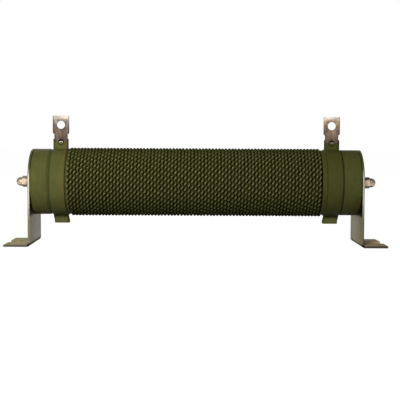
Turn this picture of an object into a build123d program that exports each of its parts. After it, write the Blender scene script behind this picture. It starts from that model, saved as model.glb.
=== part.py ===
from build123d import *
import math
import os

# Wire-wound braking resistor. A crimped resistance ribbon is wound on edge round a coated ceramic
# tube, between two terminal bands. A tie rod through the tube draws two L brackets on to its ends.
# Frame: origin on the floor below the middle of the tube, X along the tube, Z up, sizes in mm.
# Paired pieces are made for the right-hand end, at +X, and mirrored for the left-hand end.

# Ceramic tube and its cement coat
tube_length = 250.0
tube_diameter = 49.0
tube_bore = 28.0
end_coat = 1.0            # on the bare ends, outside the bands
inner_coat = 0.6          # between each band and the winding
rim_radius = 1.0
axis_height = 48.5        # the tube's axis above the floor

# Winding
turns = 76
waves_per_turn = 36
wave_shift = 0.3          # of a wave, from one turn to the next
ribbon_height = 2.0       # radial, the ribbon stands on edge
floor_cement = 0.4        # cement on the ceramic at the bottom of each opening
winding_gap = 2.4         # from a band to the first turn

# Terminal bands, each of two half hoops with flanges that meet
band_inset = 14.4         # from the end of the tube to the band
band_width = 11.0
band_thickness = 1.3
band_bend = 1.2           # inside radius of the bends into the flanges
flange_rise = 7.6         # top flange, above the hoop
ear_drop = 6.4            # bottom flange, below the hoop

# Terminal lugs
lug_thickness = 1.0
lug_foot_gap = 1.6        # from the hoop up to the lug's lower edge
lug_neck_width = 10.3
lug_neck_rise = 11.2      # from the hoop up to the lug's head
lug_head_width = 12.7
lug_head_height = 14.1
lug_corner = 0.8
lug_hole = 6.2
lug_hole_margin = 7.0     # from the hole's centre to the lug's top edge

# Eyelets that join lug and flanges
eyelet_rise = 5.1         # from the hoop up to the eyelet's axis
eyelet_shank = 2.6
eyelet_head = 4.3
eyelet_head_height = 0.7
eyelet_head_round = 0.4   # on the head behind the flanges
eyelet_roll_round = 0.25  # on the rolled rim in front
eyelet_bore = 1.8
eyelet_floor = 1.6        # metal left behind the blind bore
eyelet_clearance = 0.05   # all round, in the sheet

# Mica washers and centring cups at the tube's ends
mica_thickness = 0.8
mica_margin = 1.0         # from the washer's edge to the edge of the coated tube
cup_sheet = 1.0
cup_depth = 8.0
cup_clearance = 0.2       # all round, in the bore

# L brackets
bracket_sheet = 1.5
bracket_bend = 1.0        # inside radius
foot_length = 18.8        # from the upright's outer face
slot_width = 11.5
slot_depth = 10.5
foot_corner = 1.0

# Tie rod and its fastenings
rod_diameter = 5.0
thread_clearance = 0.05   # all round, in the nuts
rod_clearance = 0.25      # all round, in the sheet and the washers
rod_chamfer = 0.5
flat_washer_diameter = 10.0
flat_washer_thickness = 1.0
spring_washer_diameter = 9.2
spring_washer_thickness = 1.2
spring_washer_slit = 0.8
spring_washer_slant = 25.0
nut_across_flats = 7.8
nut_across_corners = 8.8
lock_nut_height = 2.7
cap_nut_hex_height = 3.4
cap_nut_dome_diameter = 7.1
cap_nut_dome_height = 4.7
cap_nut_crown = 1.6       # from the blind bore to the dome's tip
rod_end_gap = 0.5         # from the rod's end to the bottom of the blind bore

# Places that follow from the sizes
tube_radius = tube_diameter / 2
coated_radius = tube_radius + end_coat
tube_end = tube_length / 2
band_outer = tube_end - band_inset
band_middle = band_outer - band_width / 2
winding_end = band_outer - band_width - winding_gap
hoop_radius = tube_radius + band_thickness
bracket_width = 2 * coated_radius
bracket_inside = tube_end + mica_thickness
bracket_outside = bracket_inside + bracket_sheet
spring_washer_place = bracket_outside + flat_washer_thickness
lock_nut_place = spring_washer_place + spring_washer_thickness
cap_nut_place = lock_nut_place + lock_nut_height
cap_nut_height = cap_nut_hex_height + cap_nut_dome_height
rod_end = cap_nut_place + cap_nut_height - cap_nut_crown - rod_end_gap


def on_axis(x):
    """A plane across the tube's axis at x, its normal along +X and its own X direction upwards."""
    return Plane(origin=(x, 0, axis_height), x_dir=(0, 0, 1), z_dir=(1, 0, 0))


def front_plane(y=0.0):
    """An upright plane that faces the front, -Y, with its origin on the tube's axis at the band."""
    return Plane(origin=(band_middle, y, axis_height), x_dir=(1, 0, 0), z_dir=(0, -1, 0))


def ring(outer_diameter, inner_diameter, height):
    """A flat ring that stands on the XY plane."""
    return extrude(Circle(outer_diameter / 2) - Circle(inner_diameter / 2), height)


def ceramic_tube():
    """The tube with its coat: full at the ends, none under the bands and the winding."""
    inner_coat_radius = tube_radius + inner_coat
    band_inner = band_outer - band_width
    half_profile = [
        (tube_bore / 2, 0),
        (tube_radius, 0),
        (tube_radius, winding_end),
        (inner_coat_radius, winding_end),
        (inner_coat_radius, band_inner),
        (tube_radius, band_inner),
        (tube_radius, band_outer),
        (coated_radius, band_outer),
        (coated_radius, tube_end),
        (tube_bore / 2, tube_end),
    ]
    section = Plane.XZ * make_face(Polyline(half_profile, close=True))
    half_tube = revolve(section, Axis.Z)
    rims = half_tube.edges().group_by(Axis.Z)[-1]
    half_tube = fillet(rims, rim_radius)
    return on_axis(0) * (half_tube + mirror(half_tube, Plane.XY))


def resistance_winding():
    """The crimped ribbon and its cement, as one ring of diamond openings.

    Each turn waves from side to side, so that its crests touch the crests of the turns beside it.
    The touching points lie in rows across the tube, one row between each two turns, and each row
    is set on round the tube by wave_shift. Four of them ring each opening, and four flat facets
    run down from them to its floor.
    """
    crest_radius = tube_radius + ribbon_height
    floor_radius = tube_radius + floor_cement
    pitch = 2 * winding_end / turns

    def point(row, wave, radius):
        angle = 2 * math.pi * (wave + row * wave_shift) / waves_per_turn
        place = Vector(row * pitch - winding_end, 0, axis_height)
        return place + Vector(0, radius * math.cos(angle), radius * math.sin(angle))

    def crest(row, wave):
        return point(row, wave, crest_radius)

    def facet(*corners):
        return Face(Wire.make_polygon(corners, close=True))

    facets = []
    for wave in range(waves_per_turn):
        for row in range(1, turns):
            floor = point(row, wave + 0.5, floor_radius)
            rim = [
                crest(row, wave),
                crest(row - 1, wave + 1),
                crest(row, wave + 1),
                crest(row + 1, wave),
            ]
            for start, end in zip(rim, rim[1:] + rim[:1]):
                facets.append(facet(floor, start, end))
        facets.append(facet(crest(0, wave), crest(0, wave + 1), crest(1, wave)))
        facets.append(facet(crest(turns, wave), crest(turns, wave + 1), crest(turns - 1, wave + 1)))

    seat = Solid.make_cylinder(tube_radius, 2 * winding_end, on_axis(-winding_end))
    facets += seat.faces().filter_by(GeomType.CYLINDER)
    for row in (0, turns):
        rim = Wire.make_polygon([crest(row, wave) for wave in range(waves_per_turn)], close=True)
        bore = Wire.make_circle(tube_radius, on_axis(row * pitch - winding_end))
        facets.append(Face(rim, [bore]))
    return Solid(Shell(facets))


def half_hoop():
    """The back half of a terminal band: half a hoop of strip, bent out into a flange at each end."""
    hoop = Circle(hoop_radius) - Circle(tube_radius)
    top = hoop_radius + flange_rise
    bottom = hoop_radius + ear_drop
    back_half = Pos(hoop_radius, 0) * Rectangle(2 * hoop_radius, 2 * hoop_radius)
    flanges = Polyline((0, -bottom), (band_thickness, -bottom), (band_thickness, top), (0, top), close=True)
    strip = (hoop & back_half) + (make_face(flanges) - Circle(tube_radius))
    inner_corners = strip.vertices().filter_by(
        lambda v: abs(v.X) < 1e-6 and abs(abs(v.Y) - tube_radius) < 1e-6
    )
    strip = fillet(inner_corners, band_bend + band_thickness)
    outer_height = math.sqrt(hoop_radius**2 - band_thickness**2)
    outer_corners = strip.vertices().filter_by(
        lambda v: abs(v.X - band_thickness) < 1e-6 and abs(abs(v.Y) - outer_height) < 1e-6
    )
    strip = fillet(outer_corners, band_bend)
    return Plane(origin=(band_outer - band_width, 0, axis_height), x_dir=(0, 1, 0), z_dir=(1, 0, 0)) * strip


def eyelet_hole():
    """The hole for the eyelet, right through lug and flanges."""
    reach = 2 * (band_thickness + lug_thickness)
    hole = Pos(0, hoop_radius + eyelet_rise, 0) * Cylinder(eyelet_shank / 2 + eyelet_clearance, 2 * reach)
    return front_plane() * hole


def band_back():
    """The half hoop behind the tube."""
    return extrude(half_hoop(), band_width) - eyelet_hole()


def band_front():
    """The half hoop in front of the tube."""
    return mirror(band_back(), Plane.XZ)


def terminal_lug():
    """A flat lug in front of the flanges: a neck, a broader head and a hole for the cable's bolt."""
    head_foot = hoop_radius + lug_neck_rise
    head_top = head_foot + lug_head_height
    neck_foot = hoop_radius + lug_foot_gap
    head = Pos(0, (head_foot + head_top) / 2) * Rectangle(lug_head_width, lug_head_height)
    head = chamfer(head.vertices().group_by(Axis.Y)[0], lug_corner)
    neck_middle = (neck_foot + head_foot + lug_corner) / 2
    neck = Pos(0, neck_middle) * Rectangle(lug_neck_width, head_foot + lug_corner - neck_foot)
    outline = head + neck - Pos(0, head_top - lug_hole_margin) * Circle(lug_hole / 2)
    return extrude(front_plane(-band_thickness) * outline, lug_thickness) - eyelet_hole()


def lug_eyelet():
    """A rivet with a blind bore, rolled over in front of the lug and headed behind the flanges."""
    front = band_thickness + lug_thickness
    shank = Cylinder(eyelet_shank / 2, front + band_thickness, align=(Align.CENTER, Align.CENTER, Align.MIN))
    back_head = Pos(0, 0, -band_thickness) * extrude(Circle(eyelet_head / 2), -eyelet_head_height)
    front_head = Pos(0, 0, front) * extrude(Circle(eyelet_head / 2), eyelet_head_height)
    rivet = back_head + Pos(0, 0, -band_thickness) * shank + front_head
    rivet = fillet(rivet.edges().group_by(Axis.Z)[0], eyelet_head_round)
    rivet = fillet(rivet.edges().group_by(Axis.Z)[-1], eyelet_roll_round)
    bore_floor = eyelet_floor - band_thickness
    rivet -= Pos(0, 0, bore_floor) * extrude(Circle(eyelet_bore / 2), 2 * front)
    return front_plane() * Pos(0, hoop_radius + eyelet_rise, 0) * rivet


def mica_washer():
    """The thin washer between the tube's end and the bracket."""
    return on_axis(tube_end) * ring(2 * (coated_radius - mica_margin), tube_bore, mica_thickness)


def centring_cup():
    """A pressed cup on the bracket's inner face, which centres the bore on the rod."""
    radius = tube_bore / 2 - cup_clearance
    cup = extrude(Circle(radius), -cup_depth)
    hollow_depth = cup_depth - cup_sheet
    cup -= Pos(0, 0, -cup_sheet) * extrude(Circle(radius - cup_sheet), -hollow_depth)
    cup = fillet(cup.edges().group_by(Axis.Z)[-1], cup_sheet)
    cup -= Cylinder(rod_diameter / 2 + rod_clearance, 2 * cup_depth)
    return on_axis(bracket_inside) * cup


def bracket():
    """Sheet bent to an L: a round-topped upright on the tube's end and a slotted foot turned out."""
    foot_end = bracket_outside + foot_length
    path = [
        (bracket_inside, 0),
        (foot_end, 0),
        (foot_end, bracket_sheet),
        (bracket_outside, bracket_sheet),
        (bracket_outside, axis_height + bracket_width / 2),
        (bracket_inside, axis_height + bracket_width / 2),
    ]
    section = make_face(Polyline(path, close=True))
    section = fillet(section.vertices().sort_by_distance((bracket_inside, 0))[0], bracket_bend + bracket_sheet)
    section = fillet(section.vertices().sort_by_distance((bracket_outside, bracket_sheet))[0], bracket_bend)
    sheet = extrude(Plane.XZ * section, bracket_width / 2, both=True)
    upright = Pos(-axis_height / 2, 0) * Rectangle(axis_height, bracket_width) + Circle(bracket_width / 2)
    outline = extrude(on_axis(bracket_inside) * upright, bracket_sheet + foot_length)
    rod_hole = on_axis(bracket_inside) * Cylinder(rod_diameter / 2 + rod_clearance, 4 * bracket_sheet)
    plate = (sheet & outline) - rod_hole - foot_slot(foot_end)
    corners = plate.edges().filter_by(Axis.Z).group_by(Axis.X)[-1].sort_by(Axis.Y)
    return fillet([corners[0], corners[-1]], foot_corner)


def foot_slot(foot_end):
    """The slot in the foot for a fixing bolt, open at the foot's outer end, round at its inner end."""
    straight = slot_depth - slot_width / 2
    slot = Pos(foot_end, 0) * Rectangle(2 * straight, slot_width)
    slot += Pos(foot_end - straight, 0) * Circle(slot_width / 2)
    return extrude(slot, 2 * bracket_sheet)


def tie_rod():
    """The rod through the tube and both brackets, its ends in the cap nuts."""
    rod = on_axis(0) * Cylinder(rod_diameter / 2, 2 * rod_end)
    return chamfer(rod.edges().filter_by(GeomType.CIRCLE), rod_chamfer)


def flat_washer():
    """The plain washer on the bracket's outer face."""
    washer = ring(flat_washer_diameter, rod_diameter + 2 * rod_clearance, flat_washer_thickness)
    return on_axis(bracket_outside) * washer


def spring_washer():
    """The split spring washer, drawn flat between the plain washer and the nut."""
    washer = ring(spring_washer_diameter, rod_diameter + 2 * rod_clearance, spring_washer_thickness)
    slit = Box(spring_washer_diameter, spring_washer_slit, 4 * spring_washer_thickness)
    washer -= Pos(spring_washer_diameter / 2, 0, 0) * Rot(spring_washer_slant, 0, 0) * slit
    return on_axis(spring_washer_place) * washer


def hexagon(height, chamfer_at_foot):
    """A hexagonal prism, a corner upwards, its corners turned down at the top or at both ends."""
    sides = RegularPolygon(nut_across_flats / 2, 6, major_radius=False)
    prism = extrude(sides, height)
    blank = extrude(Circle(nut_across_corners / 2), height)
    turned_down = (nut_across_corners - nut_across_flats) / 2
    rims = blank.edges().filter_by(GeomType.CIRCLE).sort_by(Axis.Z)
    if not chamfer_at_foot:
        rims = rims[-1:]
    return prism & chamfer(rims, turned_down)


def lock_nut():
    """The thin nut that clamps the bracket."""
    nut = hexagon(lock_nut_height, chamfer_at_foot=True)
    nut -= Cylinder(rod_diameter / 2 + thread_clearance, 4 * lock_nut_height)
    return on_axis(lock_nut_place) * nut


def cap_nut():
    """The domed nut that closes the end of the rod."""
    dome_radius = cap_nut_dome_diameter / 2
    neck = cap_nut_height - dome_radius
    nut = hexagon(cap_nut_hex_height, chamfer_at_foot=False)
    nut += extrude(Circle(dome_radius), neck) + Pos(0, 0, neck) * Sphere(dome_radius)
    nut -= extrude(Circle(rod_diameter / 2 + thread_clearance), cap_nut_height - cap_nut_crown)
    return on_axis(cap_nut_place) * nut


def write(name, piece):
    """One STEP file for each piece."""
    piece.label = name
    export_step(piece, f"parts/{name}.step")


def main():
    os.makedirs("parts", exist_ok=True)
    write("ceramic_tube", ceramic_tube())
    write("resistance_winding", resistance_winding())
    write("tie_rod", tie_rod())
    paired = [
        band_front,
        band_back,
        terminal_lug,
        lug_eyelet,
        mica_washer,
        centring_cup,
        bracket,
        flat_washer,
        spring_washer,
        lock_nut,
        cap_nut,
    ]
    for make in paired:
        piece = make()
        write(f"right_{make.__name__}", piece)
        write(f"left_{make.__name__}", mirror(piece, Plane.YZ))


main()
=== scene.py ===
"""Looks for a wire-wound braking resistor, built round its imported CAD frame.

Lengths are metres in the frame's own axes: X along the tube, -Y towards the lugs' faces, Z up.
Sizes that the CAD part fixes are read from the boxes of its nodes. What only the looks need, such
as the crimp of the ribbon or the colour of the cement, stands in the property groups.
"""

import bmesh
import bpy
import numpy as np
from bpy.props import FloatProperty, FloatVectorProperty, IntProperty, PointerProperty
from mathutils import Matrix, Vector


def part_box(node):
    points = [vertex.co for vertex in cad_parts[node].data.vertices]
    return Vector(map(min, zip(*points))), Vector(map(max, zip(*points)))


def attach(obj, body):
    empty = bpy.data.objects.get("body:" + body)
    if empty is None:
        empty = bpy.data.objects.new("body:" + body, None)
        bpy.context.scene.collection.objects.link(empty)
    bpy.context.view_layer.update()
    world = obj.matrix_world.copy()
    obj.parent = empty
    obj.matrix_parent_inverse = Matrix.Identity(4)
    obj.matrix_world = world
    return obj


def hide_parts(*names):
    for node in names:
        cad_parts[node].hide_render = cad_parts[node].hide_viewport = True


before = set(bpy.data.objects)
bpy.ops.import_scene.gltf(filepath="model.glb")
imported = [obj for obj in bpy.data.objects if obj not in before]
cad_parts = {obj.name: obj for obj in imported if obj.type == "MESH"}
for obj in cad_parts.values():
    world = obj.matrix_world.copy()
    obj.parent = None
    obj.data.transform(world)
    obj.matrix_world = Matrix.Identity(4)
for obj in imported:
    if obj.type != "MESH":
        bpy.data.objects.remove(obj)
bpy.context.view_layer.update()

bl_info = {
    "name": "Braking Resistor Looks",
    "version": (1, 0, 0),
    "blender": (4, 5, 0),
    "location": "View3D > Sidebar > Resistor",
    "description": "Cement, crimped winding, terminal bands and plated metal for a tubular resistor",
    "category": "Add Mesh",
}

MM = 0.001
BODY = "root"

# Two corners each, (lowest, highest), of the CAD nodes that give the sizes below
TUBE = np.array(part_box("ceramic_tube"))
WINDING = np.array(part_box("resistance_winding"))
BAND = np.array(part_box("right_band_front"))
LUG = np.array(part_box("right_terminal_lug"))
EYELET = np.array(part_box("right_lug_eyelet"))
BRACKET = np.array(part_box("right_bracket"))
CAP_NUT = np.array(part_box("right_cap_nut"))

AXIS_HEIGHT = TUBE[:, 2].mean()
TUBE_END = TUBE[1, 0]
COAT_RADIUS = TUBE[1, 1]
CREST_RADIUS = WINDING[1, 1]
WINDING_END = WINDING[1, 0]
BAND_INNER, BAND_OUTER = BAND[:, 0]
BAND_MIDDLE = 0.5 * (BAND_INNER + BAND_OUTER)
BAND_RADIUS = -BAND[0, 1]
CERAMIC_RADIUS = COAT_RADIUS - 1.0 * MM
BAND_THICKNESS = BAND_RADIUS - CERAMIC_RADIUS
EYELET_HEIGHT = EYELET[:, 2].mean()

# What the boxes don't give: the lug's head down to its neck, how far the neck lies in on each
# side, and the cap nut's hexagon up to its dome
HEAD_HEIGHT = 14.1 * MM
NECK_INSET = 1.2 * MM
HEXAGON_HEIGHT = 3.4 * MM

# Between these distances either side of the middle, a tone passes from its left to its right one
SIDE_SPAN = 50.0 * MM
WHITE = (1.0, 1.0, 1.0, 1.0)

# Factors that draw a noise out round the tube, as brush marks
AROUND = (1.0, 0.12, 0.12)


def linear(red, green, blue):
    """Scene-linear colour from display values of 0 to 255."""
    value = np.array([red, green, blue]) / 255.0
    low, high = value / 12.92, ((value + 0.055) / 1.055) ** 2.4
    return tuple(float(v) for v in np.where(value <= 0.04045, low, high))


# ---- Settings ----


def tint(name, description, *display):
    """A colour setting, its default in display values of 0 to 255."""
    return FloatVectorProperty(
        name=name, description=description, subtype="COLOR", size=3, min=0.0, max=1.0,
        default=linear(*display),
    )


def number(name, description, default, low=0.0, **kind):
    """A setting with one value, not under low."""
    return FloatProperty(name=name, description=description, min=low, default=default, **kind)


def measure(name, description, default):
    """A length setting."""
    return number(name, description, default, subtype="DISTANCE", unit="LENGTH")


def turned(name, description, degrees):
    """An angle setting, its default in degrees."""
    return FloatProperty(
        name=name, description=description, subtype="ANGLE", unit="ROTATION",
        default=np.radians(degrees),
    )


class CementSettings(bpy.types.PropertyGroup):
    """The fired cement on the tube's ends and on the terminal bands."""

    colour: tint("Colour", "Cement where it is thick", 100, 102, 54)
    shade: tint("Shade", "Cement where it is thin or stained", 93, 95, 50)
    burnt: tint("Burnt", "Cement fired darker, on the right band", 74, 76, 36)
    # Painted shadow: brown, low down near the right rim, where the gap at the bracket is in shade
    rim_shadow: tint("Scald", "Brown burns near the right rim", 72, 56, 32)
    blush: tint("Blush", "Brownish tint beside the left band's inner edge", 112, 96, 56)
    waviness: measure("Waviness", "How far the coat rises and falls", 0.05 * MM)
    tube_wall: measure("Ceramic radius", "Outer radius of the bare tube", CERAMIC_RADIUS)
    bore: measure("Bore radius", "Inner radius of the tube", 14.0 * MM)
    rim: measure("Rim", "Rounding of the coat at the tube's ends", 0.6 * MM)
    overhang: measure("Overhang", "Coat on the tube's end faces", 0.35 * MM)
    cover: measure("Cover", "Coat over the outer edge of each band", 0.7 * MM)
    askew: measure("Askew", "How far the ears stray towards the middle of the tube", 0.8 * MM)
    left_groove: measure("Left groove", "Width over which the coat dips to the left band", 2.8 * MM)
    right_groove: measure("Right groove", "Width over which the coat dips to the right band", 0.9 * MM)


class WindingSettings(bpy.types.PropertyGroup):
    """The crimped ribbon, wound on edge."""

    turns: number("Turns", "Turns of ribbon", 75.9, low=1.0)
    waves: number("Waves per turn", "Waves of the crimp in one turn", 36.3, low=1.0)
    thickness: measure("Thickness", "Ribbon with its cement", 1.8 * MM)
    dip: measure("Dip", "How far the ribbon's edge sinks where turns meet", 1.1 * MM)
    wander: measure("Wander", "How far a turn strays from its even lie", 0.12 * MM)
    steps: IntProperty(name="Steps", description="Points along one wave", min=4, default=7)
    floor: measure("Floor radius", "Cement at the bottom of the openings", COAT_RADIUS - 0.85 * MM)
    right_run_out: measure("Run-out", "Smooth cement between the last turn and the right band", 1.4 * MM)
    run_on: measure("Run-on", "How far the first turn runs on towards the left band", 2.1 * MM)
    # Crest: pale wear together with a painted highlight on the ribbon's edge
    crest_wear_and_highlight: tint("Crest", "Cement rubbed pale on the ribbon's edge", 170, 168, 126)
    flank: tint("Flank", "Cement on the ribbon's sides", 79, 82, 40)
    # Painted shade deep in the openings between the turns
    hollow_shade: tint("Hollow", "Scorched cement at the bottom of the openings", 24, 23, 6)


class MetalSettings(bpy.types.PropertyGroup):
    """Lugs, eyelets, brackets and nuts."""

    tin: tint("Tin", "Clean tinning on the lugs", 186, 172, 158)
    worn_tin: tint("Worn tin", "Thin tinning through which the brass shows", 196, 166, 132)
    # Painted reflection at the lug's tip and painted highlight in the eyelet's strip
    tin_highlight: tint("Bright tin", "Thick tinning at the lug's tip and in the eyelet", 204, 193, 178)
    # Painted shade: the upper part of the eyelet's cup, dark as if shadowed from above
    rim: tint("Eyelet rim", "Blackened rim of the eyelet", 34, 27, 16)
    tarnish: tint("Tarnish", "Brown tarnish on the lugs", 122, 103, 88)
    zinc: tint("Zinc", "Zinc plate on the brackets' faces", 172, 160, 136)
    aged_zinc: tint("Aged zinc", "Yellower plate on the right bracket", 138, 129, 88)
    stain: tint("Stain", "Brown stain on the brackets' feet", 184, 160, 124)
    foot: tint("Foot", "Yellowed zinc on the left foot", 164, 155, 110)
    # Painted shadow of the tube on the brackets' inner faces, also used for the shade under the bend
    painted_shadow: tint("Scorch", "Soot where the tube meets the brackets", 16, 14, 6)
    # Dull edge, low edge and cut edge grade one sheared edge with painted light, dull at the foot and
    # bright at the rod's height
    dull_edge: tint("Dull edge", "Sheared edge round the foot", 104, 97, 82)
    low_edge: tint("Low edge", "Sheared edge between foot and tube", 134, 130, 98)
    crown_edge: tint("Crown edge", "Sheared edge over the tube, smeared with cement", 98, 99, 58)
    cut_edge: tint("Cut edge", "Bright sheared edge of the bracket's sheet", 203, 199, 172)
    nickel: tint("Nickel", "Warm nickel plate on the nuts", 214, 194, 168)
    edge_round: measure("Edge round", "Softening of the sheet metal's edges", 0.15 * MM)


class StageSettings(bpy.types.PropertyGroup):
    """Floor, lamps and camera."""

    camera_place: FloatVectorProperty(
        name="Camera", description="Where the camera stands", subtype="XYZ", unit="LENGTH",
        size=3, default=(-1.68 * MM, -703.2 * MM, 82.36 * MM),
    )
    pitch: turned("Pitch", "Camera turned down from level", 3.895)
    yaw: turned("Yaw", "Camera turned towards +X", 0.382)
    roll: turned("Roll", "Camera turned about its own line of sight", 0.282)
    lens: number("Lens", "Focal length in mm", 81.03, low=1.0)
    sky: number("Sky", "Strength of the all-round light", 0.055)
    key: number("Key lamp", "Watts of the front lamp", 4.3)
    back: number("Back lamp", "Watts of the rear lamp", 4.0)


SETTINGS = {
    "resistor_cement": CementSettings,
    "resistor_winding": WindingSettings,
    "resistor_metal": MetalSettings,
    "resistor_stage": StageSettings,
}


# ---- Mesh helpers ----


def add_piece(name, grid, close_rows, finish, slot, *nodes, crease=40.0):
    """A closed surface over a grid of points, shape (rows, columns, 3).

    The columns always run round and meet. The rows meet too where close_rows is set; otherwise
    the first and last row are each shrunk to one point, and those points are merged to a pole.
    Where the volume inside comes out negative, every face is turned over.
    """
    rows, columns, _ = grid.shape
    index = np.arange(rows * columns).reshape(rows, columns)
    beside, after = np.roll(index, -1, axis=1), np.roll(index, -1, axis=0)
    quads = np.stack([index, beside, np.roll(after, -1, axis=1), after], axis=-1)
    quads = quads[: rows if close_rows else -1].reshape(-1, 4)
    flat = grid.reshape(-1, 3)
    a, b, c, d = (flat[quads[:, corner]] - flat.mean(axis=0) for corner in range(4))
    volume = np.sum(a * np.cross(b, c)) + np.sum(a * np.cross(c, d))
    if volume < 0:
        quads = quads[:, ::-1]

    mesh = bpy.data.meshes.new(name)
    mesh.from_pydata(flat.tolist(), [], quads.tolist())
    merge_doubles(mesh, 0.0002 * MM)
    mesh.set_sharp_from_angle(angle=np.radians(crease))
    return place_piece(name, mesh, finish, slot, *nodes)


def merge_doubles(mesh, distance, flat_angle=None):
    """Merges points nearer than a distance; faces under the flat angle to each other are joined."""
    work = bmesh.new()
    work.from_mesh(mesh)
    bmesh.ops.remove_doubles(work, verts=work.verts, dist=distance)
    if flat_angle is not None:
        bmesh.ops.dissolve_limit(work, angle_limit=flat_angle, verts=work.verts, edges=work.edges)
    work.to_mesh(mesh)
    work.free()
    mesh.shade_smooth()


def new_object(name, data):
    """An object for a mesh, a lamp or a camera, linked to the scene."""
    made = bpy.data.objects.new(name, data)
    bpy.context.scene.collection.objects.link(made)
    return made


def place_piece(name, mesh, finish, slot, *nodes):
    """Puts a mesh into the scene as a piece that rides on the body and stands for CAD nodes."""
    piece = new_object(name, mesh)
    mesh.materials.clear()
    mesh.materials.append(finish)
    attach(piece, BODY)
    if nodes:
        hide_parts(*nodes)
    return piece


def eased_copy(node, name, width, finish, slot):
    """A copy of a CAD node with its doubles merged, its flat faces joined and its edges rounded."""
    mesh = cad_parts[node].data.copy()
    mesh.name = name
    merge_doubles(mesh, 0.001 * MM, flat_angle=np.radians(0.5))
    piece = place_piece(name, mesh, finish, slot, node)
    bevel = piece.modifiers.new("Eased edges", "BEVEL")
    bevel.width, bevel.segments, bevel.harden_normals = width, 2, True
    bevel.limit_method, bevel.angle_limit = "ANGLE", np.radians(40.0)
    return piece


def points(*coordinates):
    """Points from their coordinates, each an array or one value that all points share."""
    return np.stack(np.broadcast_arrays(*coordinates), axis=-1)


def about_axis(place, radius, angle):
    """Points at a place along the tube, a radius and an angle, which starts at the back, +Y."""
    return points(place, radius * np.cos(angle), AXIS_HEIGHT + radius * np.sin(angle))


def full_circle(count):
    """Angles of equally spaced points round a circle, the last one short of the first."""
    return np.linspace(0.0, 2.0 * np.pi, count, endpoint=False)


def arc(centre, radius, start, end, count):
    """Points of a circular arc in a plane, from one angle to another."""
    angle = np.linspace(start, end, count)
    return points(centre[0] + radius * np.cos(angle), centre[1] + radius * np.sin(angle))


def capped(grid):
    """A grid with a row more at each end, whose points all lie at the middle of the end row."""
    first, last = (np.broadcast_to(grid[row].mean(axis=0), grid[:1].shape) for row in (0, -1))
    return np.concatenate([first, grid, last])


# ---- Finishes ----


def with_alpha(colour):
    """A socket as it is, or three colour values with full cover added."""
    return colour if isinstance(colour, bpy.types.NodeSocket) else (*colour, 1.0)


class Graph:
    """The nodes of a material or a surround; each method adds nodes and gives their socket."""

    def __init__(self, tree):
        self.nodes, self.links = tree.nodes, tree.links

    def add(self, kind, inputs=(), **settings):
        node = self.nodes.new(kind)
        for name, value in settings.items():
            setattr(node, name, value)
        for name, value in dict(inputs).items():
            self.feed(node.inputs[name], value)
        return node

    def feed(self, socket, value):
        """Links a socket to another one, or gives it a plain value."""
        if isinstance(value, bpy.types.NodeSocket):
            self.links.new(value, socket)
        else:
            socket.default_value = value

    def math(self, operation, first, second=0.0):
        return self.add("ShaderNodeMath", {0: first, 1: second}, operation=operation).outputs[0]

    def product(self, first, second):
        return self.math("MULTIPLY", first, second)

    def spread(self, value, low, high, to_low=0.0, to_high=1.0):
        """Maps low..high to to_low..to_high, held inside that range."""
        inputs = {0: value, 1: low, 2: high, 3: to_low, 4: to_high}
        return self.add("ShaderNodeMapRange", inputs).outputs[0]

    def step(self, value, place, start, end, to_low=0.0, to_high=1.0):
        """A spread between two distances from a place, these two in millimetres."""
        return self.spread(value, place + start * MM, place + end * MM, to_low, to_high)


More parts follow.
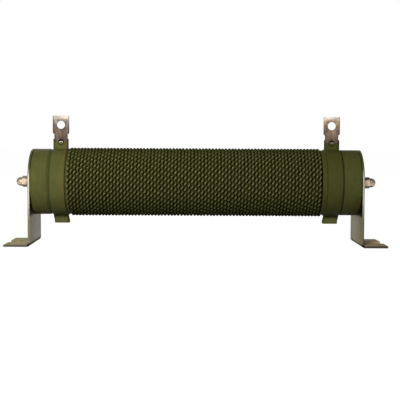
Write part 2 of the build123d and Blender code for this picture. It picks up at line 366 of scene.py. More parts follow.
class Finish(Graph):
    """A procedural material, with the place on the piece along each axis."""

    def __init__(self, name):
        self.material = bpy.data.materials.new(name)
        self.material.use_nodes = True
        super().__init__(self.material.node_tree)
        self.shader = self.nodes["Principled BSDF"]
        self.place = self.add("ShaderNodeTexCoord").outputs["Object"]
        axes = self.add("ShaderNodeSeparateXYZ", {0: self.place}).outputs
        self.along, self.across, self.height = axes

    def noise(self, size, detail=3.0, roughness=0.55, factors=(1.0, 1.0, 1.0)):
        """Soft noise from about 0.2 to 0.8, with lumps about as wide as size.

        A factor under 1 draws the lumps out along its axis.
        """
        scaled = self.add("ShaderNodeVectorMath", {0: self.place, 1: factors}, operation="MULTIPLY")
        inputs = {"Vector": scaled.outputs[0], "Scale": 1.0 / size}
        inputs.update({"Detail": detail, "Roughness": roughness})
        return self.add("ShaderNodeTexNoise", inputs).outputs[0]

    def vary(self, noise, low, high):
        """A value that follows a noise, from low to high over the noise's usual range."""
        return self.spread(noise, 0.3, 0.7, low, high)

    def stray(self, value, noise, reach):
        """A value that a noise moves by up to reach either way."""
        return self.math("ADD", value, self.vary(noise, -reach, reach))

    def to_right(self, left=0.0, right=1.0):
        """One value on the left side of the part and another on the right."""
        return self.spread(self.along, -SIDE_SPAN, SIDE_SPAN, left, right)

    def gap(self, value, middle):
        """How far a value lies from a middle, either way."""
        return self.math("ABSOLUTE", self.math("SUBTRACT", value, middle))

    def sideways(self):
        """Distance along X from the middle of the nearer band, lug and eyelet."""
        return self.gap(self.math("ABSOLUTE", self.along), BAND_MIDDLE)

    def length(self, first, second):
        """Length of a step whose two parts lie square to each other."""
        squares = [self.product(part, part) for part in (first, second)]
        return self.math("SQRT", self.math("ADD", *squares))

    def radius(self):
        """Distance from the tube's axis."""
        return self.length(self.across, self.math("SUBTRACT", self.height, AXIS_HEIGHT))

    def blend(self, factor, first, second):
        """First colour at factor 0, second at factor 1."""
        inputs = {0: factor, 6: with_alpha(first), 7: with_alpha(second)}
        return self.add("ShaderNodeMix", inputs, data_type="RGBA").outputs[2]

    def darkened(self, colour, value):
        """A colour times a value."""
        inputs = {"Value": value, "Color": with_alpha(colour)}
        return self.add("ShaderNodeHueSaturation", inputs).outputs[0]

    def fade(self, colour, factor, value):
        """A colour as it is at factor 0, and times value at factor 1."""
        return self.darkened(colour, self.spread(factor, 0.0, 1.0, 1.0, value))

    def shift(self, colour, noise, low, high):
        """A colour times a value that follows a noise."""
        return self.darkened(colour, self.vary(noise, low, high))

    def surface(self, colour, roughness, metallic=0.0, specular=0.5):
        """Gives the shader its main inputs."""
        names = ("Base Color", "Roughness", "Metallic", "Specular IOR Level")
        for name, value in zip(names, (colour, roughness, metallic, specular)):
            self.feed(self.shader.inputs[name], value)

    def relief(self, *layers):
        """The material, with bumps stacked on each other: height sockets and depths in metres."""
        inputs = {"Strength": 1.0}
        for height, depth in layers:
            inputs.update({"Height": height, "Distance": depth})
            inputs["Normal"] = self.add("ShaderNodeBump", inputs).outputs[0]
        self.feed(self.shader.inputs["Normal"], inputs["Normal"])
        return self.material


def cement_colour(finish, cement):
    """Olive cement: clouds of two tones and faint brush marks, the right end fired darker.

    Brown patches of painted shadow lie low down near the right rim, and a brownish tint beside
    the left band's inner edge. Painted shade darkens both sides of the bands, the flanges' and
    ears' ends and the underside of the tube, and a ring round each eyelet is darker.
    """
    spread, step, blend, product = finish.spread, finish.step, finish.blend, finish.product
    along, height = finish.along, finish.height
    clouds = finish.noise(9.0 * MM, 4.0)
    toned = blend(spread(clouds, 0.35, 0.65), cement.colour, cement.shade)
    burnt = product(
        spread(along, 0.5 * BAND_INNER, BAND_INNER),
        step(along, BAND_OUTER, 0.0, 2.0, 1.0, 0.75),
    )
    ear = AXIS_HEIGHT - BAND_RADIUS - 2.0 * MM
    above_ear = spread(height, ear, AXIS_HEIGHT - 20.0 * MM, 0.2, 1.0)
    toned = blend(product(burnt, above_ear), toned, cement.burnt)

    # Painted shadow: brown patches low down near the right rim, stronger lower, from the gap at the
    # bracket
    rim_shadow = product(
        step(along, TUBE_END, -12.0, -2.0),
        step(height, AXIS_HEIGHT, 12.0, -22.0, 0.15, 0.9),
    )
    patches = spread(finish.noise(5.0 * MM), 0.4, 0.62)
    toned = blend(product(rim_shadow, patches), toned, cement.rim_shadow)
    blush = product(
        spread(along, -BAND_MIDDLE, -BAND_INNER - 1.0 * MM, 0.0, 0.45),
        spread(finish.noise(8.0 * MM, 2.0, factors=(0.6, 1.0, 0.35)), 0.35, 0.55),
    )
    on_band = step(along, -BAND_INNER, 0.0, 0.5, 1.0, 0.0)
    toned = blend(product(blush, on_band), toned, cement.blush)
    toned = finish.shift(toned, finish.noise(1.1 * MM, factors=AROUND), 0.88, 1.1)

    # Painted shade in the grooves: dark lines beside the bands' edges
    edge = BAND_OUTER + cement.cover
    groove_shade_lines = (
        (-edge - 0.9 * MM, 2.2 * MM, 0.74),
        (-BAND_INNER + 0.3 * MM, 0.9 * MM, 0.5),
        (edge + 0.2 * MM, 1.1 * MM, 0.45),
    )
    for place, reach, value in groove_shade_lines:
        painted_shade = spread(finish.gap(along, place), 0.3 * reach, reach, value, 1.0)
        toned = finish.darkened(toned, painted_shade)

    sideways, half_width = finish.sideways(), BAND_OUTER - BAND_MIDDLE
    # Painted shade on the side edges of the flanges and ears, where they round off
    edge_shade = product(
        step(finish.radius(), BAND_RADIUS, 0.3, 1.3),
        step(sideways, half_width, -1.3, -0.3),
    )
    toned = finish.fade(toned, edge_shade, 0.6)
    upwards = finish.math("SUBTRACT", height, EYELET_HEIGHT)
    from_ring = finish.gap(finish.length(sideways, upwards), 2.3 * MM)
    ring = spread(from_ring, 0.2 * MM, 0.9 * MM, 0.62, 1.0)
    # Painted shade: the cement darker towards the underside of the tube, the ears below it left out
    bottom = TUBE[0, 2]
    underside = finish.math(
        "MAXIMUM",
        step(height, bottom, 0.8, 4.5, 0.5, 1.0),
        step(height, bottom, -0.4, -2.4),
    )
    return finish.darkened(toned, product(ring, underside))


def cement_finish(cement):
    """Fired cement, semi-matt, with brush marks and fine grit."""
    finish = Finish("olive_cement")
    grit = finish.noise(0.5 * MM, 2.0)
    colour = finish.shift(cement_colour(finish, cement), grit, 0.95, 1.05)
    finish.surface(colour, finish.vary(grit, 0.5, 0.68), specular=0.03)
    return finish.relief((finish.noise(1.1 * MM, factors=AROUND), 0.03 * MM), (grit, 0.03 * MM))


def ribbon_finish(winding):
    """Cement on the ribbon, by distance from the axis: painted shade deep in the openings, green
    flanks, and crests pale with wear and a painted highlight.

    Painted shade darkens it below and on top, and it is fired a little darker towards the right.
    """
    finish = Finish("ribbon_cement")
    spread = finish.spread
    rise = spread(finish.radius(), winding.floor, CREST_RADIUS)
    patches = finish.noise(2.6 * MM, 4.0, 0.6)
    grit = finish.noise(0.45 * MM, 2.0)
    # Wear and painted highlight: the crests made paler, in patches
    worn_and_lit = finish.product(spread(rise, 0.84, 1.0), spread(patches, 0.35, 0.65, 0.3, 1.0))
    # Painted shade: darker towards the bottom of the openings, by distance from the axis
    colour = finish.blend(spread(rise, 0.1, 0.65), winding.hollow_shade, winding.flank)
    colour = finish.blend(worn_and_lit, colour, winding.crest_wear_and_highlight)
    bottom, top = TUBE[:, 2]
    # Painted shade: the ribbon darker below and on top of the tube
    painted_shade = finish.product(
        spread(finish.height, bottom - 1.0 * MM, AXIS_HEIGHT - 8.0 * MM, 0.5, 1.0),
        finish.step(finish.height, top, -4.0, 0.5, 1.0, 0.55),
    )
    colour = finish.darkened(colour, painted_shade)
    fired = spread(finish.along, -WINDING_END, WINDING_END, 1.06, 0.9)
    colour = finish.shift(finish.darkened(colour, fired), grit, 0.92, 1.14)
    finish.surface(colour, finish.vary(grit, 0.6, 0.8), specular=0.01)
    return finish.relief((grit, 0.04 * MM))


def lug_finish(metal, cement):
    """Tinned brass, pale at the tip with a painted reflection, tarnished at the neck, with cement
    below the eyelet.

    The outer edges are darker. Across the neck they lie nearer to the middle than on the head.
    """
    finish = Finish("tinned_lug")
    spread, step, blend = finish.spread, finish.step, finish.blend
    height, top = finish.height, LUG[1, 2]
    blotches = finish.noise(2.6 * MM, 5.0, 0.65)
    spots = finish.noise(0.9 * MM, 3.0, 0.7)

    body = blend(finish.to_right(), metal.tin, metal.worn_tin)
    lower = step(height, top, -11, -3, 0.5, 0.1)
    stain = spread(finish.math("ADD", lower, blotches), 0.45, 0.95)
    body = blend(stain, body, metal.tarnish)
    body = finish.darkened(body, finish.to_right(0.72, 0.98))
    body = finish.shift(body, spots, 0.74, 1.2)
    # Painted reflection: the tip made pale, as though it mirrored a bright light above
    tip = step(finish.stray(height, spots, 0.3 * MM), top, -3.4, -1.6)
    body = blend(tip, body, finish.shift(metal.tin_highlight, blotches, 0.86, 1.0))

    head_half, head_foot = 0.5 * (LUG[1, 0] - LUG[0, 0]), top - HEAD_HEIGHT
    edge = step(height, head_foot, 0.0, 0.8, head_half - NECK_INSET, head_half)
    past_edge = finish.math("SUBTRACT", finish.sideways(), edge)
    body = finish.fade(body, spread(past_edge, -1.1 * MM, -0.4 * MM), 0.66)
    body = finish.fade(body, step(height, EYELET_HEIGHT, 6.0, 0.3), 0.62)

    painted = step(finish.stray(height, blotches, 0.4 * MM), EYELET_HEIGHT, -0.35, -0.1, 1.0, 0.0)
    finish.surface(
        blend(painted, body, cement_colour(finish, cement)),
        spread(finish.math("ADD", painted, spots), 0.3, 1.3, 0.44, 0.6),
        metallic=spread(painted, 0.0, 1.0, 0.35, 0.0),
        specular=0.12,
    )
    return finish.relief((spots, 0.02 * MM))


def eyelet_finish(metal, cement):
    """Eyelet: painted shade above, a painted highlight strip at mid height, its foot under cement."""
    finish = Finish("eyelet")
    upwards = finish.math("SUBTRACT", finish.height, EYELET_HEIGHT)
    specks = finish.noise(0.6 * MM)
    # Painted shade above the eyelet's middle, and a painted highlight strip below it, brighter on the
    # left
    rim = finish.math(
        "MAXIMUM",
        finish.spread(finish.sideways(), 1.35 * MM, 1.5 * MM),
        finish.spread(upwards, 0.3 * MM, 0.4 * MM),
    )
    strip = finish.darkened(metal.tin_highlight, finish.to_right(1.6, 0.85))
    colour = finish.shift(finish.blend(rim, strip, metal.rim), specks, 0.9, 1.1)
    ragged = finish.stray(upwards, specks, 0.1 * MM)
    painted = finish.spread(ragged, -0.5 * MM, -0.4 * MM, 1.0, 0.0)
    finish.surface(
        finish.blend(painted, colour, cement_colour(finish, cement)),
        finish.vary(specks, 0.35, 0.55),
        metallic=finish.spread(painted, 0.0, 1.0, 0.3, 0.0),
        specular=0.08,
    )
    return finish.relief((specks, 0.01 * MM))


def sheared_edge(finish, metal):
    """The bracket's cut edge, with painted light: dull at the foot, bright at the rod's height, cement
    at the crown.

    Painted shade darkens it at the right, most of all low down on the half that is turned outwards.
    """
    spread, blend = finish.spread, finish.blend
    height = finish.height
    crown = finish.step(height, AXIS_HEIGHT, 4.0, 12.0)
    # Painted light: the edge graded from dull at the foot to bright at the rod's height
    edge = blend(spread(height, 1.5 * MM, 4.0 * MM), metal.dull_edge, metal.low_edge)
    edge = blend(spread(height, 20.0 * MM, 36.0 * MM), edge, metal.cut_edge)
    edge = blend(crown, edge, metal.crown_edge)
    # Painted shade: darker at the right, most of all low down on the outer half
    edge = finish.darkened(edge, finish.to_right(1.0, 0.78))
    skirt = finish.product(
        finish.step(finish.along, BRACKET[0, 0], 0.6, 0.8),
        spread(height, 26.0 * MM, 20.0 * MM),
    )
    return finish.fade(edge, skirt, 0.6)


def zinc_finish(metal):
    """Zinc plate with soft clouds, yellower at the right, and stained feet.

    Cement smears the inner faces above the tube. A painted shadow of the tube darkens them round
    the tube's ends, and painted shade darkens the corner under the bend.
    """
    finish = Finish("clouded_zinc")
    spread, step, blend, product = finish.spread, finish.step, finish.blend, finish.product
    clouds = finish.noise(5.0 * MM, 4.0)
    mottle = finish.noise(1.0 * MM, 3.0, 0.65)
    marks = finish.noise(0.5 * MM, 2.0, factors=(1.0, 0.1, 1.0))
    height, radius = finish.height, finish.radius()
    outwards = finish.math("ABSOLUTE", finish.along)
    inner_face, half_width = BRACKET[0, 0], BRACKET[1, 1]

    plate = blend(finish.to_right(), metal.zinc, metal.aged_zinc)
    browned = spread(finish.stray(finish.along, clouds, 50 * MM), -60 * MM, 60 * MM)
    foot = blend(browned, metal.foot, metal.stain)
    face = blend(spread(height, 4.0 * MM, 1.6 * MM), plate, foot)
    for noise, low, high in ((clouds, 0.88, 1.12), (mottle, 0.88, 1.1), (marks, 0.95, 1.05)):
        face = finish.shift(face, noise, low, high)

    inner = step(outwards, inner_face, 0.5, 0.1)
    above = step(height, AXIS_HEIGHT, 2.0, 12.0)
    face = blend(product(inner, above), face, metal.crown_edge)
    rear = step(finish.across, half_width, -4.5, -1.5)
    face = finish.fade(face, product(rear, inner), 0.55)
    # Painted shadow cast by the tube on the inner faces round its ends
    near_tube = finish.math(
        "MAXIMUM",
        step(radius, half_width, 1.0, -0.4),
        step(height, TUBE[0, 2], -0.6, 1.0),
    )
    tube_shadow = product(near_tube, spread(above, 0.0, 1.0, 1.0, 0.2))
    face = blend(product(inner, tube_shadow), face, metal.painted_shadow)

    outline = (half_width - 0.3 * MM, half_width - 0.1 * MM)
    side = spread(finish.math("ABSOLUTE", finish.across), *outline)
    crown = product(spread(radius, *outline), step(height, AXIS_HEIGHT, -0.1, 0.0))
    colour = blend(finish.math("MAXIMUM", side, crown), face, sheared_edge(finish, metal))
    # Painted shade in the corner under the bend
    under_bend = product(spread(height, 3.0 * MM, 1.8 * MM), step(outwards, inner_face, 2.6, 1.6))
    finish.surface(
        blend(under_bend, colour, metal.painted_shadow),
        spread(height, 1.0 * MM, 4.0 * MM, 0.8, 0.48),
        metallic=spread(height, 1.0 * MM, 4.0 * MM, 0.05, 0.22),
        specular=0.08,
    )
    return finish.relief((marks, 0.008 * MM))


def nickel_finish(metal):
    """Warm nickel plate, stained in spots, with painted shade below and at the right above as well.

    A painted highlight brightens the right nut's hexagon, and painted shade dims its dome a little.
    """
    finish = Finish("stained_nickel")
    stains = finish.noise(1.6 * MM, 4.0, 0.6)
    fine = finish.noise(0.3 * MM, 2.0)
    nickel, height = np.array(metal.nickel), finish.height
    colour = finish.blend(finish.spread(stains, 0.5, 0.75), nickel, 0.45 * nickel)
    colour = finish.shift(colour, fine, 0.94, 1.06)
    # Painted light: the right nut's hexagon brighter and its dome a little darker
    dome = CAP_NUT[0, 0] + HEXAGON_HEIGHT
    hex_light = finish.step(finish.along, dome, -0.1, 0.1, 0.3, -0.08)
    hex_light = finish.math("ADD", 1.0, finish.product(finish.to_right(), hex_light))
    # Painted shade on the nuts' lower flats, and at the right on the upper ones too
    nut_shade = finish.math(
        "MAXIMUM",
        finish.product(finish.step(height, AXIS_HEIGHT, -1.9, -2.9), finish.to_right(0.75, 0.95)),
        finish.product(finish.step(height, AXIS_HEIGHT, 2.2, 3.2), finish.to_right(0.15, 0.8)),
    )
    finish.surface(
        finish.blend(nut_shade, finish.darkened(colour, hex_light), 0.12 * nickel),
        finish.vary(stains, 0.4, 0.55),
        metallic=0.6,
    )
    return finish.relief((fine, 0.006 * MM))


def mica_finish():
    """Dark flaky mica."""
    finish = Finish("flaky_mica")
    flakes = finish.noise(2.0 * MM, 4.0, factors=(4.0, 1.0, 1.0))
    colour = finish.blend(finish.spread(flakes, 0.35, 0.65), linear(30, 25, 16), linear(58, 50, 36))
    finish.surface(colour, finish.vary(flakes, 0.45, 0.6), specular=0.1)
    return finish.relief((flakes, 0.02 * MM))


def finish_of(name, make, *settings):
    """The finish of that name, made from its settings the first time that it is asked for."""
    return bpy.data.materials.get(name) or make(*settings)


def dress(material, *nodes):
    """Gives CAD nodes that keep their own mesh a finish."""
    for name in nodes:
        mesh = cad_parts[name].data
        mesh.materials.clear()
        mesh.materials.append(material)


# ---- Pieces ----

SIDES = {"left": -1.0, "right": 1.0}


def half_tube_profile(cement, groove, inner_start):
    """(place, radius) of one half of the tube, from the middle of its outside round to its bore.

    Beside the band's inner edge a bead stands on the inner coat, a half sine to the power 0.7
    that leans inwards. From the band's outer edge the coat rises as a quarter sine to the power
    0.8 over the groove's width, and it leaves the end in a quarter circle.
    """
    bare, step, lip = cement.tube_wall, 0.1 * MM, 0.15 * MM
    inner_coat, bead_width, bead_height = 0.75 * MM, 0.9 * MM, 0.9 * MM
    share = np.linspace(0.0, 1.0, 13)
    swell = (bead_height - inner_coat * share) * np.sin(np.pi * share) ** 0.7
    bead_place = BAND_INNER - bead_width * (1.0 - share)
    groove_start, end = BAND_OUTER + cement.cover + lip, TUBE_END + cement.overhang
    rise = (COAT_RADIUS - bare - lip) * np.sin(0.5 * np.pi * share) ** 0.8
    sleeve = np.linspace(groove_start + groove, end - cement.rim, 10)[1:-1]
    rim = arc((end - cement.rim, COAT_RADIUS - cement.rim), cement.rim, 0.5 * np.pi, 0.0, 9)
    return np.concatenate([
        [(0.0, bare), (inner_start, bare), (inner_start + step, bare + inner_coat)],
        points(bead_place, bare + inner_coat + swell),
        [(groove_start - lip, bare)],
        points(groove_start + share * groove, bare + lip + rise),
        points(sleeve, COAT_RADIUS),
        rim,
        [(end, cement.bore), (0.0, cement.bore)],
    ])


def coated_tube(cement, winding):
    """The tube and its coat: a closed profile of place and radius, turned round the axis.

    From the coat's radius goes a slow wave, the mean of three sines of angle and place.
    """
    right = half_tube_profile(cement, cement.right_groove, WINDING_END - winding.right_run_out)
    left = half_tube_profile(cement, cement.left_groove, WINDING_END)[::-1] * (-1.0, 1.0)
    profile = np.concatenate([right, left[1:-1]])
    place, radius = profile[:, :1], profile[:, 1:]
    angle = full_circle(240)[None, :]
    waves = ((3.0, 11.0 * MM), (5.0, -6.0 * MM), (2.0, 3.5 * MM))
    wave = sum(np.sin(count * angle + place / reach) for count, reach in waves) / 3.0
    coated = np.clip((radius - cement.tube_wall) / (COAT_RADIUS - cement.tube_wall), 0.0, 1.0)
    radius = radius - cement.waviness * coated * (0.5 + 0.5 * wave)
    return about_axis(place, radius, angle)


def band_strip(side, cement, outer_corner):
    """Front half of a terminal band: a rounded strip section carried along a path in the YZ plane.

    The path runs down the top flange, through a bend whose centre lies off the hoop by the bend's
    radius, round the hoop, and through the lower bend into the ear. The section lies across it.
    Below the tube the path leans evenly towards the tube's middle.
    """
    thickness = BAND_RADIUS - cement.tube_wall
    bend, lip, lip_share, lean_height = 1.2 * MM, 0.2 * MM, 0.82, 3.0 * MM
    bend_y = -(thickness + bend)
    bend_z = np.sqrt((BAND_RADIUS + bend) ** 2 - bend_y**2)
    tilt = np.arctan2(-bend_z, -bend_y)
    corner_path = arc((bend_y, bend_z), bend + thickness / 2.0, 0.0, tilt, 9)
    corner_normal = -arc((0.0, 0.0), 1.0, 0.0, tilt, 9)
    hoop_normal = arc((0.0, 0.0), 1.0, tilt + np.pi, np.pi - tilt, 97)[1:-1]

    def straight(tip):
        """Heights from a tip, which counts twice so that the strip closes, to the bend."""
        return np.array([tip, tip, tip - lip, *np.linspace(tip - lip, bend_z, 8)[1:-1]])

    flange, ear = straight(BAND[1, 2] - AXIS_HEIGHT), straight(AXIS_HEIGHT - BAND[0, 2])
    path = np.concatenate([
        points(-thickness / 2.0, flange),
        corner_path,
        (BAND_RADIUS - thickness / 2.0) * hoop_normal,
        corner_path[::-1] * (1.0, -1.0),
        points(-thickness / 2.0, -ear)[::-1],
    ])
    forwards = np.tile((-1.0, 0.0), (len(flange), 1))
    lower_normal = corner_normal[::-1] * (1.0, -1.0)
    normal = np.concatenate([forwards, corner_normal, hoop_normal, lower_normal, forwards])
    scale = np.ones((len(path), 1))
    scale[[0, -1]] = 0.0
    scale[[1, -2]] = lip_share

    width = BAND_OUTER + cement.cover - BAND_INNER
    across, outward = strip_section(width, thickness, outer_corner)
    lean = cement.askew * np.clip((-path[:, 1:] - bend_z) / lean_height, 0.0, 1.0)
    place = side * (BAND_INNER + width / 2.0 - lean + scale * across)
    yz = path[:, None, :] + (scale * outward)[:, :, None] * normal[:, None, :]
    return np.concatenate([place[:, :, None], yz + (0.0, AXIS_HEIGHT)], axis=-1)


def strip_section(width, thickness, outer_corner):
    """Offsets across and outwards of a strip's section, with four corners rounded as arcs."""
    inner_corner, foot_corner, quarter = 0.4 * MM, 0.15 * MM, 0.5 * np.pi
    corners = [(1, 1, outer_corner), (-1, 1, inner_corner), (-1, -1, foot_corner), (1, -1, foot_corner)]
    outline = [
        arc(
            (x * (width / 2.0 - radius), y * (thickness / 2.0 - radius)),
            radius, turn * quarter, (turn + 1) * quarter, 6,
        )
        for turn, (x, y, radius) in enumerate(corners)
    ]
    return np.concatenate(outline).T


def wound_ribbon(winding):
    """The crimped ribbon: a narrow rounded section on edge, carried along a waving helix.

    Along the ribbon the angle falls evenly and the place rises evenly, plus a sine wave whose
    crests reach the crests of the turns beside it. The section lies across the line's direction
    on the tube's surface, from the line's slope in place and in angle times radius.
    """
    full_turn, first_angle = 2.0 * np.pi, -0.75 * np.pi
    set_on = winding.waves % 1.0
    start = -WINDING_END - winding.run_on
    length = WINDING_END - start
    pitch = length / (winding.turns + 0.5)
    swing = (pitch - winding.thickness) / (2.0 * np.sin(np.pi * set_on))
    margin = swing + winding.wander + winding.thickness / 2.0
    pitch = (length - 2.0 * margin) / winding.turns

    count = int(winding.turns * winding.waves * winding.steps)
    turn = np.linspace(0.0, winding.turns, count + 1)[:, None]
    phase = full_turn * winding.waves * turn
    wander = 0.5 * winding.wander * (np.sin(17.3 * turn) + np.sin(29.9 * turn + 1.0))
    line = start + margin + pitch * turn + swing * np.sin(phase) + wander
    angle = first_angle - full_turn * turn

    slope_place = pitch + swing * full_turn * winding.waves * np.cos(phase)
    slope_round = -full_turn * CREST_RADIUS
    size = np.hypot(slope_place, slope_round)

    # The section's five points, from one foot over the edge to the other foot
    half = np.array([1.25, 0.8, 0.0, -0.8, -1.25]) * winding.thickness / 2.0
    sunk = np.array([0.0, 0.3, 0.0, 0.3, 0.0])
    depth = CREST_RADIUS - winding.floor
    radius = CREST_RADIUS - winding.dip * np.sin(0.5 * phase) ** 4 - sunk * depth
    radius[:, [0, -1]] = winding.floor - 0.1 * depth
    place = line - slope_round / size * half
    return capped(about_axis(place, radius, angle + slope_place / size * half / CREST_RADIUS))


def winding_floor(winding):
    """Cement under the ribbon: a thin sleeve, rippled by a product of two sines of angle and place."""
    thickness, ripple_height = 0.4 * MM, 0.05 * MM
    place = np.linspace(-WINDING_END - winding.run_on, WINDING_END, 160)[:, None]
    angle = full_circle(160)[None, :]
    ripple = np.sin(17.0 * angle + place / (2.0 * MM)) * np.sin(11.0 * angle - place / (3.1 * MM))
    outside = about_axis(place, winding.floor + ripple_height * ripple, angle)
    inside = about_axis(place[::-1], winding.floor - thickness, angle)
    return np.concatenate([outside, inside])


def cap_nut(side):
    """Domed nut, a corner upwards: rings of place and radius, from the blind bore to the tip.

    On the hexagon's rings the radius is the flats' half width over the cosine of the angle from
    the nearest flat, and the ring where the sides end sinks by the corner's height times the
    slope of the turned-down chamfer. The dome is a quarter circle on a short neck.
    """
    _, across_flats, across_corners = np.ptp(CAP_NUT, axis=0)
    flat, face_share = across_flats / 2.0, 0.97
    foot, tip = CAP_NUT[:, 0]
    hex_top, bore_end = foot + HEXAGON_HEIGHT, tip - 1.6 * MM
    dome_radius, bore_radius, ease, chamfer_slope = 3.55 * MM, 2.55 * MM, 0.12 * MM, 0.9
    angle = full_circle(144)
    off_flat = (angle + np.pi / 6.0) % (np.pi / 3.0) - np.pi / 6.0
    hexagon = np.minimum(flat / np.cos(off_flat), across_corners / 2.0)
    sunk = hex_top - (hexagon - flat) * chamfer_slope - ease
    dome = arc((tip - dome_radius, 0.0), dome_radius, 0.5 * np.pi, 0.0, 14)
    rings = [
        (bore_end, 0.0),
        (bore_end, bore_radius),
        (foot, bore_radius),
        (foot, hexagon - ease),
        (foot + ease, hexagon),
        (sunk, hexagon),
        (sunk + ease, hexagon - ease),
        (hex_top, face_share * flat),
        (hex_top, dome_radius + ease),
        (hex_top + ease, dome_radius),
        *dome,
    ]
    return np.stack([about_axis(side * place, radius, angle) for place, radius in rings])


def neck_cement(side):
    """Cement brushed over the lug's foot: a section in the YZ plane carried across the neck.

    Its front is upright, then flares in an arc on to the hoop; its back lies inside the sheet.
    Towards both ends the section is drawn in by a quarter circle, so that the edges are soft.
    """
    flare, skin, gap, top_ease, root, ease = np.array([1.5, 0.3, 0.1, 0.3, 1.2, 0.9]) * MM
    front, back = LUG[0, 1] - skin, -0.8 * MM
    top, foot = EYELET_HEIGHT - AXIS_HEIGHT - gap, BAND_RADIUS + gap
    sweep = arc((front - flare, foot + flare), flare, 0.0, -0.45 * np.pi, 8)
    crown = arc((front + top_ease, top - top_ease), top_ease, 0.5 * np.pi, np.pi, 5)
    section = np.concatenate([
        [(back, foot - root), (back, top)],
        crown,
        np.linspace((front, top - top_ease), (front, foot + flare), 6)[1:-1],
        sweep,
        [(sweep[-1, 0] - gap, foot - root)],
    ])
    half_width = 0.5 * (BAND_OUTER - BAND_INNER) - 0.02 * MM
    turn = np.linspace(0.0, 0.5 * np.pi, 8)
    inset = half_width - ease * (1.0 - np.sin(turn))
    across = np.concatenate([-inset[::-1], inset])
    drawn = ease * (1.0 - np.cos(turn))
    drawn = np.concatenate([drawn[::-1], drawn])
    return carried_section(side, section, across, drawn)


def carried_section(side, section, across, drawn):
    """A section carried along X through the band's middle, its front drawn in at each place."""
    forwards, upwards = section.T
    share = (forwards.max() - forwards) / np.ptp(forwards)
    y = forwards + drawn[:, None] * share
    place = side * (BAND_MIDDLE + across[:, None])
    return capped(points(place, y, AXIS_HEIGHT + upwards))


def lug_eyelet(side):
    """Hollow rivet along -Y: (radius, distance in front) rings turned round its own axis.

    The rim in front is half an ellipse, as wide as the head's edge and the bore leave room for.
    """
    head, middle = 0.5 * np.ptp(EYELET[:, 0]), EYELET[:, 0].mean()
    sheet_front, head_front = -LUG[0, 1], -EYELET[0, 1]
    sheet_back, head_back = -BAND_THICKNESS, -EYELET[1, 1]
    shank, cup_top, cup_foot, cup_floor = 1.3 * MM, 1.1 * MM, 1.05 * MM, sheet_front - 0.5 * MM
    rim_radius, rim_depth = 1.62 * MM, 0.45 * MM
    roll = arc((0.0, head_front - rim_depth), rim_depth, 0.0, np.pi, 9)
    roll[:, 0] = rim_radius + roll[:, 0] * (head - rim_radius) / rim_depth
    profile = np.concatenate([
        [(0.0, head_back), (head - 0.5 * MM, head_back)],
        [(head - 0.12 * MM, head_back + 0.2 * MM), (head, sheet_back - 0.2 * MM)],
        [(head, sheet_back), (shank, sheet_back), (shank, sheet_front), (head, sheet_front)],
        roll,
        [(cup_top, head_front - 0.6 * MM), (cup_foot, cup_floor), (0.0, cup_floor)],
    ])
    radius, front = profile[:, :1], profile[:, 1:]
    angle = full_circle(48)
    sideways, upwards = radius * np.cos(angle), radius * np.sin(angle)
    return points(side * middle + sideways, -front, EYELET_HEIGHT + upwards)


# ---- Operators ----


class RESISTOR_OT_tube(bpy.types.Operator):
    """Make the coated ceramic tube"""

    bl_idname = "resistor.tube"
    bl_label = "Coated Tube"

    def execute(self, context):
        cement = context.scene.resistor_cement
        winding = context.scene.resistor_winding
        finish = finish_of("olive_cement", cement_finish, cement)
        add_piece(
            "coated_tube", coated_tube(cement, winding), True, finish, "coated_ceramic",
            "ceramic_tube",
        )
        return {"FINISHED"}


class RESISTOR_OT_winding(bpy.types.Operator):
    """Make the crimped ribbon and the cement under it"""

    bl_idname = "resistor.winding"
    bl_label = "Winding"

    def execute(self, context):
        winding = context.scene.resistor_winding
        finish = finish_of("ribbon_cement", ribbon_finish, winding)
        add_piece(
            "wound_ribbon", wound_ribbon(winding), False, finish, "coated_ribbon",
            "resistance_winding", crease=80.0,
        )
        add_piece("winding_cement", winding_floor(winding), True, finish, "coated_ribbon")
        return {"FINISHED"}


class RESISTOR_OT_bands(bpy.types.Operator):
    """Make the four half hoops of the terminal bands"""

    bl_idname = "resistor.bands"
    bl_label = "Terminal Bands"

    def execute(self, context):
        cement = context.scene.resistor_cement
        finish = finish_of("olive_cement", cement_finish, cement)
        corners = {"left": 0.9 * MM, "right": 0.4 * MM}
        for name, side in SIDES.items():
            front = band_strip(side, cement, corners[name])
            for half, turned in (("front", 1.0), ("back", -1.0)):
                add_piece(
                    f"{name}_band_{half}_strip", front * (1.0, turned, 1.0), False, finish,
                    "coated_strip", f"{name}_band_{half}",
                )
        return {"FINISHED"}


class RESISTOR_OT_lugs(bpy.types.Operator):
    """Make the terminal lugs and their eyelets"""

    bl_idname = "resistor.lugs"
    bl_label = "Terminal Lugs"

    def execute(self, context):
        metal = context.scene.resistor_metal
        cement = context.scene.resistor_cement
        finish = finish_of("tinned_lug", lug_finish, metal, cement)
        rim_finish = finish_of("eyelet", eyelet_finish, metal, cement)
        olive = finish_of("olive_cement", cement_finish, cement)
        for name, side in SIDES.items():
            eased_copy(
                f"{name}_terminal_lug", f"{name}_lug_plate", metal.edge_round, finish,
                "tinned_brass",
            )
            add_piece(
                f"{name}_eyelet", lug_eyelet(side), False, rim_finish, "tinned_brass",
                f"{name}_lug_eyelet",
            )
            add_piece(f"{name}_neck_cement", neck_cement(side), False, olive, "coated_strip")
        return {"FINISHED"}


class RESISTOR_OT_brackets(bpy.types.Operator):
    """Make the L brackets"""

    bl_idname = "resistor.brackets"
    bl_label = "Brackets"

    def execute(self, context):
        metal = context.scene.resistor_metal
        finish = finish_of("clouded_zinc", zinc_finish, metal)
        for name in SIDES:
            eased_copy(
                f"{name}_bracket", f"{name}_bracket_plate", metal.edge_round, finish, "zinc_plate"
            )
        return {"FINISHED"}


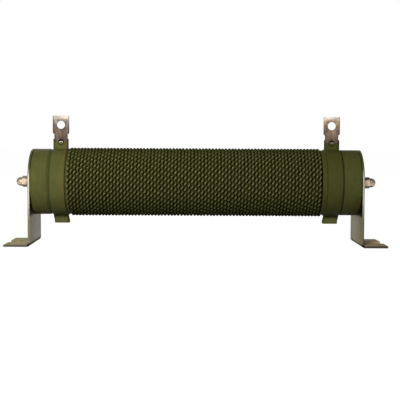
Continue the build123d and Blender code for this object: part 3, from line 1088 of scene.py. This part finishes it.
class RESISTOR_OT_fastenings(bpy.types.Operator):
    """Make the cap nuts, and finish the rod, lock nuts, washers, mica and centring cups"""

    bl_idname = "resistor.fastenings"
    bl_label = "Fastenings"

    def execute(self, context):
        metal = context.scene.resistor_metal
        nickel = finish_of("stained_nickel", nickel_finish, metal)
        zinc = finish_of("clouded_zinc", zinc_finish, metal)
        mica = finish_of("flaky_mica", mica_finish)
        dress(nickel, "tie_rod")
        for name, side in SIDES.items():
            add_piece(
                f"{name}_domed_nut", cap_nut(side), False, nickel, "nickel_plate",
                f"{name}_cap_nut", crease=30.0,
            )
            eased_copy(f"{name}_lock_nut", f"{name}_thin_nut", 0.1 * MM, nickel, "nickel_plate")
            dress(nickel, f"{name}_flat_washer", f"{name}_spring_washer")
            dress(zinc, f"{name}_centring_cup")
            dress(mica, f"{name}_mica_washer")
        return {"FINISHED"}


class RESISTOR_OT_stage(bpy.types.Operator):
    """Make the floor, the lamps and the camera"""

    bl_idname = "resistor.stage"
    bl_label = "Stage"

    def execute(self, context):
        stage = context.scene.resistor_stage
        make_floor()
        make_sky(context.scene, stage)
        make_lamp("key_lamp", (-0.1, -0.66, 0.28), 0.3, stage.key)
        make_lamp("back_lamp", (-0.3, 0.9, 0.5), 0.8, stage.back)
        make_camera(context.scene, stage)
        context.scene.view_settings.view_transform = "Standard"
        return {"FINISHED"}


def seen_directly(graph):
    """1 for rays from the camera, a mirror or glass, and 0 for the light that falls on things."""
    ray = graph.add("ShaderNodeLightPath").outputs
    direct = graph.math("MAXIMUM", ray["Is Camera Ray"], ray["Is Glossy Ray"])
    return graph.math("MAXIMUM", direct, ray["Is Transmission Ray"])


def make_floor():
    """A wide plane just under the feet: dull grey to falling light, near white to the eye."""
    half, drop, glow = 6.0, 0.05 * MM, 0.985
    corners = [(x * half, y * half, -drop) for x, y in ((-1, -1), (1, -1), (1, 1), (-1, 1))]
    mesh = bpy.data.meshes.new("floor")
    mesh.from_pydata(corners, [], [(0, 1, 2, 3)])
    floor = new_object("floor", mesh)
    paper = Finish("floor_paper")
    paper.surface((0.1, 0.1, 0.1, 1.0), 1.0, specular=0.0)
    paper.feed(paper.shader.inputs["Emission Color"], WHITE)
    strength = paper.product(seen_directly(paper), glow)
    paper.feed(paper.shader.inputs["Emission Strength"], strength)
    mesh.materials.append(paper.material)


def make_sky(scene, stage):
    """A white surround, at full strength to the eye and at the sky's strength as light.

    Metal shows it at full strength too where the backdrop stands, on the side of +Y.
    """
    world = bpy.data.worlds.new("surround")
    world.use_nodes = True
    graph = Graph(world.node_tree)
    direction = graph.add("ShaderNodeTexCoord").outputs["Generated"]
    away = graph.add("ShaderNodeSeparateXYZ", {0: direction}).outputs["Y"]
    ray = graph.add("ShaderNodeLightPath").outputs
    mirrored = graph.math("MAXIMUM", ray["Is Glossy Ray"], ray["Is Transmission Ray"])
    mirrored = graph.product(mirrored, graph.spread(away, 0.7, 0.9))
    shown = graph.math("MAXIMUM", ray["Is Camera Ray"], mirrored)
    background = graph.nodes["Background"]
    graph.feed(background.inputs["Color"], WHITE)
    graph.feed(background.inputs["Strength"], graph.spread(shown, 0.0, 1.0, stage.sky, 1.0))
    scene.world = world


def make_lamp(name, place, size, power):
    """A square soft lamp aimed at the middle of the tube."""
    data = bpy.data.lights.new(name, "AREA")
    data.shape, data.size, data.energy = "SQUARE", size, power
    lamp = new_object(name, data)
    aim = Vector((0.0, 0.0, AXIS_HEIGHT)) - Vector(place)
    lamp.location = place
    lamp.rotation_euler = aim.to_track_quat("-Z", "Y").to_euler()


def make_camera(scene, stage):
    """The camera: turned by yaw about Z, by pitch from level and by roll about its own axis."""
    data = bpy.data.cameras.new("camera")
    data.sensor_width = 36.0
    data.lens = stage.lens
    camera = new_object("camera", data)
    turn = (
        Matrix.Rotation(-stage.yaw, 4, "Z")
        @ Matrix.Rotation(0.5 * np.pi - stage.pitch, 4, "X")
        @ Matrix.Rotation(stage.roll, 4, "Z")
    )
    camera.matrix_world = Matrix.Translation(stage.camera_place) @ turn
    scene.camera = camera


PIECES = [
    RESISTOR_OT_tube,
    RESISTOR_OT_winding,
    RESISTOR_OT_bands,
    RESISTOR_OT_lugs,
    RESISTOR_OT_brackets,
    RESISTOR_OT_fastenings,
    RESISTOR_OT_stage,
]


class RESISTOR_PT_panel(bpy.types.Panel):
    """The resistor's pieces and their settings"""

    bl_idname = "RESISTOR_PT_panel"
    bl_label = "Braking Resistor"
    bl_space_type = "VIEW_3D"
    bl_region_type = "UI"
    bl_category = "Resistor"

    def draw(self, context):
        for operator in PIECES:
            self.layout.operator(operator.bl_idname)
        for name, group in SETTINGS.items():
            box = self.layout.box()
            for prop in group.__annotations__:
                box.prop(getattr(context.scene, name), prop)


CLASSES = [*SETTINGS.values(), *PIECES, RESISTOR_PT_panel]


def register():
    for cls in CLASSES:
        bpy.utils.register_class(cls)
    for name, group in SETTINGS.items():
        setattr(bpy.types.Scene, name, PointerProperty(type=group))


def unregister():
    for name in SETTINGS:
        delattr(bpy.types.Scene, name)
    for cls in reversed(CLASSES):
        bpy.utils.unregister_class(cls)


def main():
    register()
    bpy.ops.resistor.tube()
    bpy.ops.resistor.winding()
    bpy.ops.resistor.bands()
    bpy.ops.resistor.lugs()
    bpy.ops.resistor.brackets()
    bpy.ops.resistor.fastenings()
    bpy.ops.resistor.stage()


if __name__ == "__main__":
    main()
